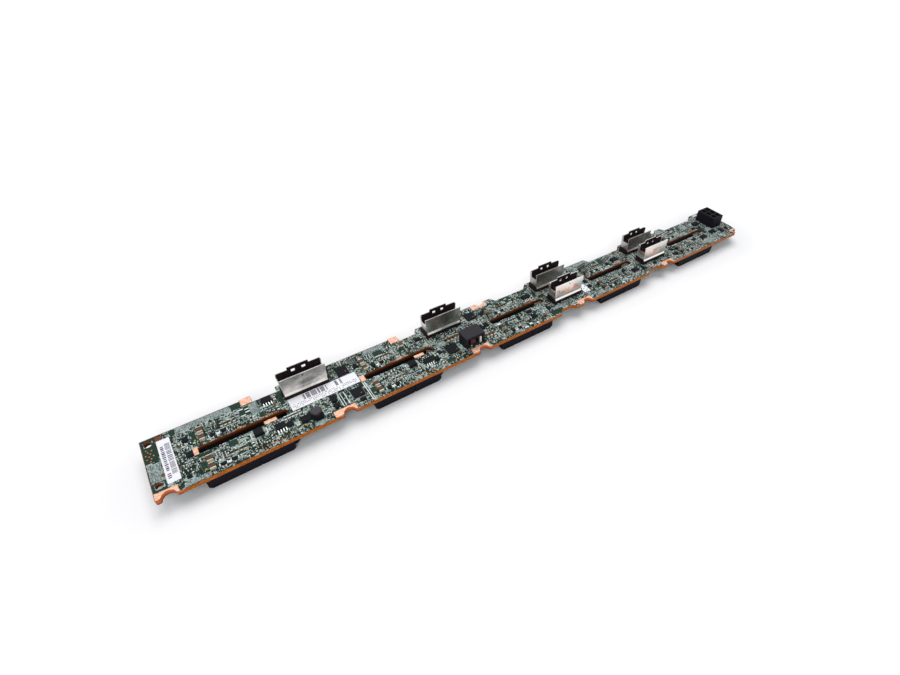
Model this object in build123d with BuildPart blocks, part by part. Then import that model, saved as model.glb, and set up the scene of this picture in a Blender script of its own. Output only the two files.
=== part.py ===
"""Backplane board for ten small drives, lying component side up on its drive connectors."""

import os

from build123d import *

os.makedirs("parts", exist_ok=True)

# Sizes are in millimetres. On the board, u runs from its left end and v from its near edge.

# Bare board
column_count = 5
row_count = 2
column_pitch = 82.0
row_pitch = 19.3
end_allowance = 7.5
near_margin = 5.4
far_margin = 12.7
board_thickness = 2.4
hole_diameter = 3.5
hole_inset = 3.1
near_hole_v = 7.5
hole_spacing = 26.3

# Air slots along the middle of the board, and the plated tongues that reach into two of them
slot_start = 21.0
slot_length = 41.0
slot_width = 4.4
slot_gap = 1.4
slot_corner = 1.5
tongue_start = 29.0
tongue_length = 6.4
tongue_reach = 2.5
tongue_taper = 0.6
tongue_count = 2

# Round finger notches, recesses and tabs along the two long edges
notch_start = 5.3
notch_radius = 3.1
lip_radius = 0.7
far_notch_columns = (2, 4)
far_notch_start = 25.5
far_notch_radius = 3.3
far_notch_lift = 1.0
near_recess_start = 64.5
near_recess_length = 13.2
near_recess_depth = 3.0
near_recess_columns = (2, 3)
far_recess_depth = 3.8
steep_slope = 0.4
recess_slope = 2.2
wide_slope = 4.0
wide_recess_start = 36.0
wide_recess_lengths = (22.4, 29.2, 31.0)
tab_start = 44.2
tab_length = 5.5
tab_reach = 0.9
narrow_recess_lengths = (11.8, 9.9)
corner_cut = 2.2

# Drive connectors: a long housing with one slot for the drive's tongue and 29 contacts
drive_length = 42.6
drive_depth = 7.0
drive_height = 8.0
drive_start = 19.0
drive_end_bevel = 1.4
guide_post_length = 3.0
guide_post_depth = 3.9
tongue_slot_length = 33.6
tongue_slot_width = 2.6
tongue_slot_depth = 6.2
guide_slot_length = 2.2
guide_slot_width = 4.0
guide_slot_depth = 4.6
guide_wall = 0.8
seam_offset = 1.9
seam_width = 0.5
seam_depth = 0.35
power_contacts = 15
signal_contacts = 7
contact_pitch = 1.27
contact_width = 0.6
contact_thickness = 0.3
contact_recess = 0.8

# Shielded cable connectors: folded steel shell round a moulded insulator with 36 contacts
shell_length = 22.2
shell_flare = 0.7
shell_depth = 6.8
sheet = 0.4
shell_foot = 2.4
front_height = 13.4
side_height = 9.2
rear_height = 13.0
latch_height = 14.6
latch_length = 10.8
rear_ear = 1.5
window_width = 2.0
window_height = 1.9
window_spacing = 5.4
window_drop = 1.7
bead_height = 1.3
bead_depth = 0.7
bead_slope = 0.2
base_overhang = 0.5
cheek_gap = 0.1
cheek_height = 3.6
core_depth = 3.8
core_end_gap = 0.8
core_height = 9.6
liner = 0.5
card_slot_length = 18.4
card_slot_width = 2.0
card_slot_depth = 6.0
cable_contacts = 18
cable_contact_pitch = 0.8
cable_contact_width = 0.4
cable_contact_thickness = 0.3

# Power connector in the middle of the board, open towards the near edge
mid_power_start = 78.0
mid_power_near = 5.5
mid_power_length = 12.7
mid_power_depth = 9.0
mid_power_height = 7.7
mid_power_wall = 1.4
mid_power_floor = 0.5
mid_power_roof = 1.7
mid_power_back = 1.8
mid_power_corner = 1.0
mid_power_blades = 3
mid_power_pitch = 2.65
blade_thickness = 0.6
blade_gap = 0.5
blade_recess = 1.2

# Power connector at the right end, open upwards with six chambers
end_power_length = 11.5
end_power_depth = 16.0
end_power_height = 8.5
end_power_inset = 6.0
end_power_near = 15.0
chamber_columns = 2
chamber_rows = 3
chamber_pitch = 4.8
chamber_side = 3.7
chamber_floor = 2.0
end_pin_side = 0.8
end_pin_recess = 1.9
ramp_width = 3.0
ramp_reach = 0.9
ramp_height = 2.0
ramp_drop = 1.0

# Chips, coil, diodes and other parts soldered on top
quad_side = 6.3
quad_height = 0.9
quad_corner = 0.4
quad_gap = 5.5
controller_side = 7.0
regulator_length = 4.8
regulator_width = 3.9
so_length = 4.9
so_width = 3.9
so_height = 1.5
so_lead_count = 4
so_lead_pitch = 1.27
so_lead_width = 0.42
so_lead_reach = 1.2
so_lead_root = 0.85
so_lead_thickness = 0.25
coil_base_side = 5.6
coil_base_height = 1.8
coil_base_corner = 0.8
coil_radius = 2.7
coil_height = 4.2
coil_bevel = 0.5
coil_gap = 0.3
diode_count = 2
diode_length = 4.3
diode_width = 3.8
diode_height = 2.1
diode_tab_length = 1.3
diode_tab_width = 2.4
diode_tab_height = 1.2
capacitor_length = 2.5
capacitor_width = 3.4
capacitor_height = 1.5
capacitor_gap = 1.5
resistor_length = 1.2
resistor_width = 2.2
resistor_height = 0.6
resistor_gap = 0.7
resistor_count = 4
signal_diode_length = 2.8
signal_diode_width = 1.6
signal_diode_height = 0.8
signal_diode_gap = 2.0
small_chip_height = 0.8
label_thickness = 0.12

# Everything else hangs on these
near_row = near_margin
far_row = near_row + (row_count - 1) * row_pitch
board_length = column_count * column_pitch + end_allowance
board_width = far_row + far_margin
slot_v = far_row - drive_depth / 2 - slot_gap - slot_width / 2
model_near = -(board_width + tab_reach) / 2
board_top = drive_height + board_thickness
shell_mouth = shell_length + 2 * shell_flare
latch_side = (shell_mouth - latch_length) / 2
shoulder = (shell_mouth - latch_side) / 2


def spot(u, v):
    """A place on the board, from its left end and near edge, in the model's own frame."""
    return (u - board_length / 2, model_near + v)


def column(index, start):
    """Distance from the board's left end to a feature of one drive column."""
    return index * column_pitch + start


def level(u, v, height):
    """A level plane whose origin stands over a place on the board."""
    return Plane(origin=(*spot(u, v), height))


def facing_near(u, v, height):
    """An upright plane that faces the near edge, with x to the right and y up."""
    return Plane(origin=(*spot(u, v), height), x_dir=(1, 0, 0), z_dir=(0, -1, 0))


def facing_right(u, v, height):
    """An upright plane that faces the right end, with x towards the far edge and y up."""
    return Plane(origin=(*spot(u, v), height), x_dir=(0, 1, 0), z_dir=(1, 0, 0))


def centred(count, pitch):
    """Offsets of a row of equal pitch about its middle."""
    return [(index - (count - 1) / 2) * pitch for index in range(count)]


def save(builder, label):
    """Names one finished piece and writes it."""
    builder.part.label = label
    export_step(builder.part, f"parts/{label}.step")


# Circuit board

recess_floor = board_width - far_recess_depth
far_mouth = board_width + tab_reach
mouth_growth = (far_mouth - recess_floor) / far_recess_depth

# Far-edge recesses as left end, floor length, left slope and right slope
narrow_recesses = [
    (column(index, tab_start) + tab_length, length, 0.0, slope)
    for index, (length, slope) in enumerate(zip(narrow_recess_lengths, (steep_slope, recess_slope)))
]
wide_recesses = [
    (column(index, wide_recess_start), length, recess_slope, wide_slope)
    for index, length in enumerate(wide_recess_lengths, start=len(narrow_recess_lengths))
]

with BuildPart() as circuit_board:
    with BuildSketch(Plane.XY.offset(drive_height)) as outline:
        with Locations(spot(board_length / 2, board_width / 2)):
            Rectangle(board_length, board_width)
        for left, length, left_slope, right_slope in narrow_recesses + wide_recesses:
            with BuildLine():
                Polyline(
                    spot(left, recess_floor),
                    spot(left + length, recess_floor),
                    spot(left + length + right_slope * mouth_growth, far_mouth),
                    spot(left - left_slope * mouth_growth, far_mouth),
                    close=True,
                )
            make_face(mode=Mode.SUBTRACT)
        # Two plated tabs stand out of the far edge
        for index in range(len(narrow_recess_lengths)):
            with Locations(spot(column(index, tab_start) + tab_length / 2, board_width + tab_reach / 2)):
                Rectangle(tab_length, tab_reach)
        # The near edge steps back in front of the two near cable connectors
        for index in near_recess_columns:
            left = column(index, near_recess_start)
            with BuildLine():
                Polyline(
                    spot(left, 0),
                    spot(left + recess_slope, near_recess_depth),
                    spot(left + near_recess_length - recess_slope, near_recess_depth),
                    spot(left + near_recess_length, 0),
                    close=True,
                )
            make_face(mode=Mode.SUBTRACT)
        # Finger notches, the last of which takes the near right corner
        with Locations(*[spot(column(index, notch_start), 0) for index in range(column_count + 1)]):
            Circle(notch_radius, mode=Mode.SUBTRACT)
        far_notch_v = board_width + far_notch_lift
        with Locations(*[spot(column(index, far_notch_start), far_notch_v) for index in far_notch_columns]):
            Circle(far_notch_radius, mode=Mode.SUBTRACT)
        with BuildLine():
            Polyline(
                spot(board_length - corner_cut, 0),
                spot(board_length, 4 * corner_cut),
                spot(board_length, 0),
                close=True,
            )
        make_face(mode=Mode.SUBTRACT)
        fillet(outline.vertices().group_by(Axis.Y)[0], lip_radius)
        with Locations(*[spot(column(k, slot_start) + slot_length / 2, slot_v) for k in range(column_count)]):
            RectangleRounded(slot_length, slot_width, slot_corner, mode=Mode.SUBTRACT)
        for index in range(tongue_count):
            foot = column(index, slot_start) + tongue_start
            lip = slot_v - slot_width / 2
            with BuildLine():
                Polyline(
                    spot(foot, lip),
                    spot(foot + tongue_length, lip),
                    spot(foot + tongue_length - tongue_taper, lip + tongue_reach),
                    spot(foot + tongue_taper, lip + tongue_reach),
                    close=True,
                )
            make_face()
        with Locations(spot(hole_inset, near_hole_v), spot(hole_inset, near_hole_v + hole_spacing)):
            Circle(hole_diameter / 2, mode=Mode.SUBTRACT)
    extrude(amount=board_thickness)
save(circuit_board, "circuit_board")


# Drive connectors, mating face down


def drive_housing(label, u, v):
    """Moulded housing with a narrower post at its right end, its tongue slot, a guide pocket and a seam."""
    face = level(u, v, 0)
    main_length = drive_length - guide_post_length
    guide_middle = tongue_slot_length / 2 + guide_wall + guide_slot_length / 2
    with BuildPart() as housing:
        with BuildSketch(face):
            with Locations((-guide_post_length / 2, 0)):
                Rectangle(main_length, drive_depth)
        extrude(amount=drive_height)
        chamfer(housing.edges().filter_by(Axis.Y).group_by(Axis.Z)[0], drive_end_bevel)
        # The post starts inside the main block, past its bevelled end
        post_middle = (drive_length - guide_post_length - drive_end_bevel) / 2
        with BuildSketch(face):
            with Locations((post_middle, (drive_depth - guide_post_depth) / 2)):
                Rectangle(guide_post_length + drive_end_bevel, guide_post_depth)
        extrude(amount=drive_height)
        chamfer(housing.edges().filter_by(Axis.Y).group_by(Axis.X)[-1].group_by(Axis.Z)[0], drive_end_bevel)
        with BuildSketch(face):
            Rectangle(tongue_slot_length, tongue_slot_width)
        extrude(amount=tongue_slot_depth, mode=Mode.SUBTRACT)
        with BuildSketch(face):
            with Locations((-guide_middle, 0)):
                Rectangle(guide_slot_length, guide_slot_width)
        extrude(amount=guide_slot_depth, mode=Mode.SUBTRACT)
        with BuildSketch(face):
            with Locations((seam_offset, -drive_depth / 2), (seam_offset, drive_depth / 2)):
                Rectangle(seam_width, 2 * seam_depth)
        extrude(amount=drive_height, mode=Mode.SUBTRACT)
    save(housing, label)


def drive_contacts(label, u, v):
    """Fifteen power contacts on one wall of the slot, and seven signal contacts on each wall."""
    wall = (tongue_slot_width - contact_thickness) / 2
    end = tongue_slot_length / 2 - contact_width
    power_middle = end - power_contacts * contact_pitch / 2
    signal_middle = -end + signal_contacts * contact_pitch / 2
    power = [(power_middle + x, wall) for x in centred(power_contacts, contact_pitch)]
    signal = [
        (signal_middle + x, side * wall)
        for side in (-1, 1)
        for x in centred(signal_contacts, contact_pitch)
    ]
    with BuildPart() as contacts:
        with BuildSketch(level(u, v, contact_recess)):
            with Locations(*power, *signal):
                Rectangle(contact_width, contact_thickness)
        extrude(amount=tongue_slot_depth - contact_recess)
    save(contacts, label)


for row in range(row_count):
    for index in range(column_count):
        number = row * column_count + index + 1
        middle = (column(index, drive_start) + drive_length / 2, near_row + row * row_pitch)
        drive_housing(f"drive_socket_{number:02d}", *middle)
        drive_contacts(f"drive_contacts_{number:02d}", *middle)


# Shielded cable connectors, each placed by the near left corner of its shell's foot

cable_places = [
    (column(0, 63.8), far_row + 0.8),
    (column(1, 64.4), far_row + 1.7),
    (column(2, 63.9), far_row + 1.8),
    (column(2, 66.3), near_row + 4.5),
    (column(3, 66.2), far_row + 0.5),
    (column(3, 67.6), near_row + 4.6),
]


def flared_outline(inset):
    """Outline seen from the near edge, wider at the mouth, drawn in at both ends by an inset."""
    half = shell_length / 2 - inset
    rise = latch_height - shell_foot
    return [(-half, 0), (half, 0), (half + shell_flare, rise), (-half - shell_flare, rise)]


def cable_shell(label, u, v):
    """Steel sheet folded round four sides, with a tall rear wall for the plug's latch."""
    middle = (u + shell_length / 2, v + shell_depth / 2)
    top = level(*middle, board_top + latch_height)
    rear = shell_depth / 2
    with BuildPart() as shell:
        for inset, mode in ((0, Mode.ADD), (sheet, Mode.SUBTRACT)):
            with BuildSketch(facing_near(middle[0], v + inset, board_top + shell_foot)):
                with BuildLine():
                    Polyline(*flared_outline(inset), close=True)
                make_face()
            extrude(amount=2 * inset - shell_depth, mode=mode)
        # The front wall, the side walls and the rear shoulders are lower than the latch
        with BuildSketch(top):
            with Locations((0, (sheet - shell_depth) / 2)):
                Rectangle(shell_mouth, sheet)
        extrude(amount=front_height - latch_height, mode=Mode.SUBTRACT)
        with BuildSketch(top):
            with Locations((0, (sheet - rear_ear) / 2)):
                Rectangle(shell_mouth, shell_depth - sheet - rear_ear)
        extrude(amount=side_height - latch_height, mode=Mode.SUBTRACT)
        with BuildSketch(top):
            with Locations((-shoulder, rear - rear_ear / 2), (shoulder, rear - rear_ear / 2)):
                Rectangle(latch_side, rear_ear)
        extrude(amount=rear_height - latch_height, mode=Mode.SUBTRACT)
        # Windows in the rear wall for the plug's hooks
        with BuildSketch(facing_near(middle[0], v + shell_depth, board_top + latch_height - window_drop)):
            with Locations((-window_spacing / 2, -window_height / 2), (window_spacing / 2, -window_height / 2)):
                Rectangle(window_width, window_height)
        extrude(amount=sheet, mode=Mode.SUBTRACT)
        # A pressed bead stiffens the foot of the front wall
        with BuildSketch(facing_right(u, v, board_top + shell_foot)):
            with BuildLine():
                Polyline(
                    (0, 0),
                    (-bead_depth, bead_slope),
                    (0, bead_height),
                    close=True,
                )
            make_face()
        extrude(amount=shell_length)
    save(shell, label)


def cable_insulator(label, u, v):
    """Moulding: base, cheeks outside the shell, slotted core, and a liner on the rear wall."""
    middle = (u + shell_length / 2, v + shell_depth / 2)
    foot = level(*middle, board_top + shell_foot)
    inner_length = shell_length - 2 * sheet
    liner_y = shell_depth / 2 - sheet - liner / 2
    with BuildPart() as insulator:
        with BuildSketch(level(*middle, board_top)):
            Rectangle(shell_length + 2 * base_overhang, shell_depth + 2 * base_overhang)
        extrude(amount=shell_foot)
        with BuildSketch(foot):
            cheek_middle = (shell_length + base_overhang + cheek_gap) / 2
            with Locations((-cheek_middle, 0), (cheek_middle, 0)):
                Rectangle(base_overhang - cheek_gap, shell_depth + 2 * base_overhang)
        extrude(amount=cheek_height - shell_foot)
        with BuildSketch(foot):
            Rectangle(inner_length - 2 * core_end_gap, core_depth)
        extrude(amount=core_height - shell_foot)
        rear_inside = v + shell_depth - sheet
        with BuildSketch(facing_near(middle[0], rear_inside - liner, board_top + shell_foot)):
            with BuildLine():
                Polyline(*flared_outline(sheet), close=True)
            make_face()
        extrude(amount=-liner)
        with BuildSketch(level(*middle, board_top + latch_height)):
            with Locations((-shoulder, liner_y), (shoulder, liner_y)):
                Rectangle(latch_side, liner)
        extrude(amount=rear_height - latch_height, mode=Mode.SUBTRACT)
        with BuildSketch(facing_near(middle[0], rear_inside, board_top + latch_height - window_drop)):
            with Locations((-window_spacing / 2, -window_height / 2), (window_spacing / 2, -window_height / 2)):
                Rectangle(window_width, window_height)
        extrude(amount=liner, mode=Mode.SUBTRACT)
        with BuildSketch(level(*middle, board_top + core_height)):
            Rectangle(card_slot_length, card_slot_width)
        extrude(amount=-card_slot_depth, mode=Mode.SUBTRACT)
    save(insulator, label)


def cable_contact_rows(label, u, v):
    """Two rows of eighteen contacts on the long walls of the card slot."""
    middle = (u + shell_length / 2, v + shell_depth / 2)
    wall = (card_slot_width - cable_contact_thickness) / 2
    places = [(x, side * wall) for side in (-1, 1) for x in centred(cable_contacts, cable_contact_pitch)]
    with BuildPart() as contacts:
        with BuildSketch(level(*middle, board_top + core_height - card_slot_depth)):
            with Locations(*places):
                Rectangle(cable_contact_width, cable_contact_thickness)
        extrude(amount=card_slot_depth - contact_recess)
    save(contacts, label)


for number, place in enumerate(cable_places, start=1):
    cable_shell(f"cable_shell_{number}", *place)
    cable_insulator(f"cable_insulator_{number}", *place)
    cable_contact_rows(f"cable_contacts_{number}", *place)


# Power connector in the middle

mid_power_u = column(1, mid_power_start) + mid_power_length / 2
mid_power_rear = mid_power_near + mid_power_depth
mouth_height = mid_power_height - mid_power_floor - mid_power_roof
mouth_middle = board_top + mid_power_floor + mouth_height / 2

with BuildPart() as mid_power_housing:
    with BuildSketch(level(mid_power_u, mid_power_near + mid_power_depth / 2, board_top)):
        Rectangle(mid_power_length, mid_power_depth)
    extrude(amount=mid_power_height)
    chamfer(mid_power_housing.edges().filter_by(Axis.Z).group_by(Axis.Y)[-1], mid_power_corner)
    with BuildSketch(facing_near(mid_power_u, mid_power_near, mouth_middle)):
        Rectangle(mid_power_length - 2 * mid_power_wall, mouth_height)
    extrude(amount=mid_power_back - mid_power_depth, mode=Mode.SUBTRACT)
save(mid_power_housing, "mid_power_housing")

with BuildPart() as mid_power_contacts:
    with BuildSketch(facing_near(mid_power_u, mid_power_rear - mid_power_back, mouth_middle)):
        with Locations(*[(x, 0) for x in centred(mid_power_blades, mid_power_pitch)]):
            Rectangle(blade_thickness, mouth_height - 2 * blade_gap)
    extrude(amount=mid_power_depth - mid_power_back - blade_recess)
save(mid_power_contacts, "mid_power_contacts")


# Power connector at the right end

end_power_u = board_length - end_power_inset - end_power_length / 2
end_power_v = end_power_near + end_power_depth / 2
end_power_top = board_top + end_power_height
chambers = [
    (x, y) for x in centred(chamber_columns, chamber_pitch) for y in centred(chamber_rows, chamber_pitch)
]

with BuildPart() as end_power_housing:
    with BuildSketch(level(end_power_u, end_power_v, board_top)):
        Rectangle(end_power_length, end_power_depth)
    extrude(amount=end_power_height)
    with BuildSketch(level(end_power_u, end_power_v, end_power_top)):
        with Locations(*chambers):
            Rectangle(chamber_side, chamber_side)
    extrude(amount=chamber_floor - end_power_height, mode=Mode.SUBTRACT)
    # Ramp on the right side that the plug's latch catches
    ramp_u = end_power_u + end_power_length / 2
    with BuildSketch(facing_near(ramp_u, end_power_v - ramp_width / 2, end_power_top - ramp_drop)):
        with BuildLine():
            Polyline((0, 0), (ramp_reach, -ramp_height), (0, -ramp_height), close=True)
        make_face()
    extrude(amount=-ramp_width)
save(end_power_housing, "end_power_housing")

with BuildPart() as end_power_pins:
    with BuildSketch(level(end_power_u, end_power_v, board_top + chamber_floor)):
        with Locations(*chambers):
            Rectangle(end_pin_side, end_pin_side)
    extrude(amount=end_power_height - chamber_floor - end_pin_recess)
save(end_power_pins, "end_power_pins")


# Chips


def bodies(label, places, length, width, height):
    """A group of like rectangular bodies standing on the board."""
    with BuildPart() as group:
        with BuildSketch(Plane.XY.offset(board_top)):
            with Locations(*[spot(u, v) for u, v in places]):
                Rectangle(length, width)
        extrude(amount=height)
    save(group, label)


quad_places = [
    (cable_places[0][0] + shell_length + quad_gap + quad_side / 2, far_row + 3.8),
    (column(1, 13.4), near_row + 4.2),
    (column(2, 13.2), far_row + 4.1),
]

with BuildPart() as quad_chips:
    with BuildSketch(Plane.XY.offset(board_top)) as quad_outlines:
        with Locations(*[spot(u, v) for u, v in quad_places]):
            Rectangle(quad_side, quad_side)
        chamfer(quad_outlines.vertices(), quad_corner)
    extrude(amount=quad_height)
save(quad_chips, "quad_chips")

bodies("controller_chip", [(column(1, 71.3), near_row + 5.0)], controller_side, controller_side, quad_height)

coil_u = column(0, 72.9)
coil_v = near_row + 1.4
regulator_place = (coil_u - coil_base_side / 2 - coil_gap - regulator_length / 2, near_row + 2.5)
bodies("regulator_chip", [regulator_place], regulator_length, regulator_width, quad_height)

# Small packages as place, length and width
small_chips = [
    (column(0, 14.8), near_row - 0.4, 1.8, 1.8),
    (column(0, 17.4), slot_v - 0.4, 2.8, 3.2),
    (column(0, 17.4), far_row + 2.4, 2.6, 2.8),
    (column(0, 60.4), near_row + 3.5, 2.6, 3.0),
    (column(0, 83.3), near_row + 1.8, 2.8, 3.0),
    (column(0, 83.4), near_row + 7.1, 2.8, 4.5),
    (column(1, 14.0), near_row - 1.5, 3.0, 2.0),
    (column(1, 20.2), far_row + 3.3, 2.4, 2.4),
    (column(1, 59.0), far_row + 3.6, 2.4, 2.4),
    (column(1, 60.2), near_row + 3.2, 2.4, 2.5),
    (column(2, 17.4), slot_v - 0.4, 2.8, 3.2),
    (column(2, 47.3), near_row + 2.3, 3.4, 2.8),
    (column(2, 47.3), near_row + 7.3, 3.4, 2.0),
    (column(2, 60.0), near_row + 3.2, 2.4, 2.5),
    (column(3, 17.0), slot_v - 0.4, 2.8, 3.2),
    (column(3, 16.6), far_row + 2.4, 2.6, 2.8),
    (column(4, 17.4), slot_v - 0.4, 2.8, 3.2),
    (column(4, 17.2), far_row + 2.4, 2.6, 2.8),
]

with BuildPart() as small_chip_group:
    with BuildSketch(Plane.XY.offset(board_top)):
        for u, v, length, width in small_chips:
            with Locations(spot(u, v)):
                Rectangle(length, width)
    extrude(amount=small_chip_height)
save(small_chip_group, "small_chips")

# Eight-lead transistors, four leads along each long side
transistor_places = [
    (column(0, 55.5), far_row + 5.5),
    (column(0, 56.0), near_row + 4.3),
    (column(1, 55.2), near_row + 3.9),
    (column(2, 53.8), far_row + 0.4),
    (column(3, 53.0), far_row + 0.3),
    (column(3, 57.0), near_row + 1.8),
    (column(4, 54.5), near_row + 3.9),
]
bodies("transistor_bodies", transistor_places, so_length, so_width, so_height)

lead_planes = [
    Plane(
        origin=(spot(u, v)[0] + x - side * so_lead_width / 2, spot(u, v)[1] + side * so_width / 2, board_top),
        x_dir=(0, side, 0),
        z_dir=(side, 0, 0),
    )
    for u, v in transistor_places
    for side in (-1, 1)
    for x in centred(so_lead_count, so_lead_pitch)
]

with BuildPart() as transistor_leads:
    with BuildSketch(*lead_planes):
        with BuildLine():
            Polyline(
                (0, so_lead_root),
                (so_lead_reach, so_lead_thickness),
                (so_lead_reach, 0),
                (0, so_lead_root - so_lead_thickness),
                close=True,
            )
        make_face()
    extrude(amount=so_lead_width)
save(transistor_leads, "transistor_leads")


# Power coil: square foot and round core

with BuildPart() as coil_base:
    with BuildSketch(level(coil_u, coil_v, board_top)) as coil_foot:
        Rectangle(coil_base_side, coil_base_side)
        chamfer(coil_foot.vertices(), coil_base_corner)
    extrude(amount=coil_base_height)
save(coil_base, "coil_base")

with BuildPart() as coil_core:
    with BuildSketch(level(coil_u, coil_v, board_top + coil_base_height)):
        Circle(coil_radius)
    extrude(amount=coil_height - coil_base_height)
    chamfer(coil_core.edges().group_by(Axis.Z)[-1], coil_bevel)
save(coil_core, "coil_core")


# Power diodes, one in each of the first columns, with a bent tab at each end

diode_places = [(column(index, 46.4), near_row + 6.4) for index in range(diode_count)]
tab_shift = (diode_length + diode_tab_length) / 2
bodies("power_diodes", diode_places, diode_length, diode_width, diode_height)
bodies(
    "diode_tabs",
    [(u + side * tab_shift, v) for u, v in diode_places for side in (-1, 1)],
    diode_tab_length,
    diode_tab_width,
    diode_tab_height,
)


# Small parts that repeat in every drive cell


def in_cells(u, v):
    """One place in every drive cell."""
    return [
        (column(index, u), near_row + row * row_pitch + v)
        for row in range(row_count)
        for index in range(column_count)
    ]


def cell_row(count, pitch, u, v):
    """A row of places in every drive cell, about its middle."""
    return [place for x in centred(count, pitch) for place in in_cells(u + x, v)]


bodies(
    "ceramic_capacitors",
    in_cells(24.1, -0.6) + in_cells(24.1, capacitor_width + capacitor_gap - 0.6),
    capacitor_length,
    capacitor_width,
    capacitor_height,
)
bodies(
    "chip_resistors",
    cell_row(resistor_count, resistor_length + resistor_gap, 36.05, 2.2),
    resistor_length,
    resistor_width,
    resistor_height,
)
bodies(
    "signal_diodes",
    cell_row(2, signal_diode_length + signal_diode_gap, 30.9, -1.8),
    signal_diode_length,
    signal_diode_width,
    signal_diode_height,
)


# Paper labels as left end, near edge, length and width

labels = [
    (column(0, 6.3), near_row + 0.9, 5.4, 27.0),
    (column(0, 64.1), slot_v - 1.3, 35.9, 8.4),
    (column(3, 9.5), near_row + 2.6, 4.8, 8.0),
]

with BuildPart() as paper_labels:
    with BuildSketch(Plane.XY.offset(board_top)):
        for left, near, length, width in labels:
            with Locations(spot(left + length / 2, near + width / 2)):
                Rectangle(length, width)
    extrude(amount=label_thickness)
save(paper_labels, "paper_labels")
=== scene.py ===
# Backplane board: camera, light, materials, and the print, solder and tiny parts on the board
import math
from functools import partial

import bpy
import numpy as np
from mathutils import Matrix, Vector
from mathutils.bvhtree import BVHTree


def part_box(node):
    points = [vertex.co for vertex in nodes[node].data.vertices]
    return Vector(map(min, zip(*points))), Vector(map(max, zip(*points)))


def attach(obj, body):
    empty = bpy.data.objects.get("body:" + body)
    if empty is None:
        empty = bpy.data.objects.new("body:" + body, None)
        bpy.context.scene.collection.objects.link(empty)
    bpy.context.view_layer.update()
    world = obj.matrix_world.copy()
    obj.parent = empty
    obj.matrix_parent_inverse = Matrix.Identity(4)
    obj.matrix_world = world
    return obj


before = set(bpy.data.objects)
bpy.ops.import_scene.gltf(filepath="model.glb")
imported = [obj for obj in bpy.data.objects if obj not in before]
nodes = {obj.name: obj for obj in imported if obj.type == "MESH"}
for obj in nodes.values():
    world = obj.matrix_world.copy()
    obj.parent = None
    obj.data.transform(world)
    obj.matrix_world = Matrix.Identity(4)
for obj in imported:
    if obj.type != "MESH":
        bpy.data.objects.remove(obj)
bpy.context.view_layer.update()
print("frame loaded:", len(nodes), "nodes")


def nodeBox(name):
    # Lowest and highest corners of a node in mm, to a hundredth
    return [[round(1000 * part, 2) for part in corner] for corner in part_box(name)]


# Places on the board are in mm: u from its left end, v from its near edge, heights above its upper face
boardLow, boardHigh = nodeBox("circuit_board")
firstSocket, nextSocket, farSocket = (nodeBox("drive_socket_" + number) for number in ("01", "02", "06"))
board = {
    "middleU": -boardLow[0],
    "middleV": -boardLow[1],
    "top": boardHigh[2],
    "thickness": round(boardHigh[2] - boardLow[2], 2),
    "length": boardHigh[0] - boardLow[0],
    "tabReach": 0.9,  # how far the tabs stand out past the far edge
    "columns": 5,
    "columnPitch": nextSocket[0][0] - firstSocket[0][0],
}
board["width"] = round(boardHigh[1] - boardLow[1] - board["tabReach"], 2)
rowSockets = (firstSocket, farSocket)
board["rows"] = [round((low[1] + high[1]) / 2 + board["middleV"], 2) for low, high in rowSockets]


def hexColour(code):
    # sRGB hex to linear light
    channels = np.array([int(code[i:i + 2], 16) for i in (1, 3, 5)]) / 255
    linear = np.where(channels <= 0.04045, channels / 12.92, ((channels + 0.055) / 1.055) ** 2.4)
    return (*linear.tolist(), 1.0)


def setInputs(node, inputs):
    # Inputs come in order in a list, or by name or number in a dictionary. Each takes a value, another node,
    # which stands for its first output, or one output
    for name, value in inputs.items() if isinstance(inputs, dict) else enumerate(inputs):
        if isinstance(value, bpy.types.Node):
            value = value.outputs[0]
        if isinstance(value, bpy.types.NodeSocket):
            node.id_data.links.new(value, node.inputs[name])
        else:
            node.inputs[name].default_value = value


def addNode(tree, kind, inputs=(), operation=None, stops=(), **settings):
    # Adds one node. Settings are its own properties, and stops are a ramp's places and colours
    node = tree.nodes.new("ShaderNode" + kind)
    if operation:
        node.operation = operation
    for name, value in settings.items():
        setattr(node, name, value)
    setInputs(node, inputs)
    for k, (position, code) in enumerate(stops):
        if k == len(node.color_ramp.elements):
            node.color_ramp.elements.new(1.0)
        node.color_ramp.elements[k].position = position
        node.color_ramp.elements[k].color = hexColour(code)
    return node


def newMaterial(name, base, roughness, metallic=0.0, **gloss):
    # A material with one main shader, whose even values are set on its own sockets
    material = bpy.data.materials.new(name)
    material.use_nodes = True
    material.diffuse_color = hexColour(base)
    shader = material.node_tree.nodes["Principled BSDF"]
    setInputs(shader, {"Base Color": hexColour(base), "Roughness": roughness, "Metallic": metallic})
    sockets = {"specular": "Specular IOR Level", "ior": "IOR"}
    setInputs(shader, {sockets[key]: value for key, value in gloss.items()})
    return material, partial(addNode, material.node_tree), shader


# Camera

camera = {
    "place": (-0.163255, -0.197571, 0.219151),
    "turn": (47.7097, -3.2239, -37.1481),  # degrees about X, Y and Z
    "lens": 20.70,
    "sensor": 36.0,
    "shift": (-0.0790, -0.0022),
    "sees": (0.005, 20.0),  # nearest and farthest metres
}

eyeData = bpy.data.cameras.new("camera")
eyeData.lens = camera["lens"]
eyeData.sensor_width = camera["sensor"]
eyeData.sensor_fit = "HORIZONTAL"
eyeData.shift_x, eyeData.shift_y = camera["shift"]
eyeData.clip_start, eyeData.clip_end = camera["sees"]
eye = bpy.data.objects.new("camera", eyeData)
eye.location = camera["place"]
eye.rotation_euler = [math.radians(angle) for angle in camera["turn"]]
bpy.context.collection.objects.link(eye)
bpy.context.scene.camera = eye
bpy.context.scene.view_settings.view_transform = "Standard"

# Light and floor

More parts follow.
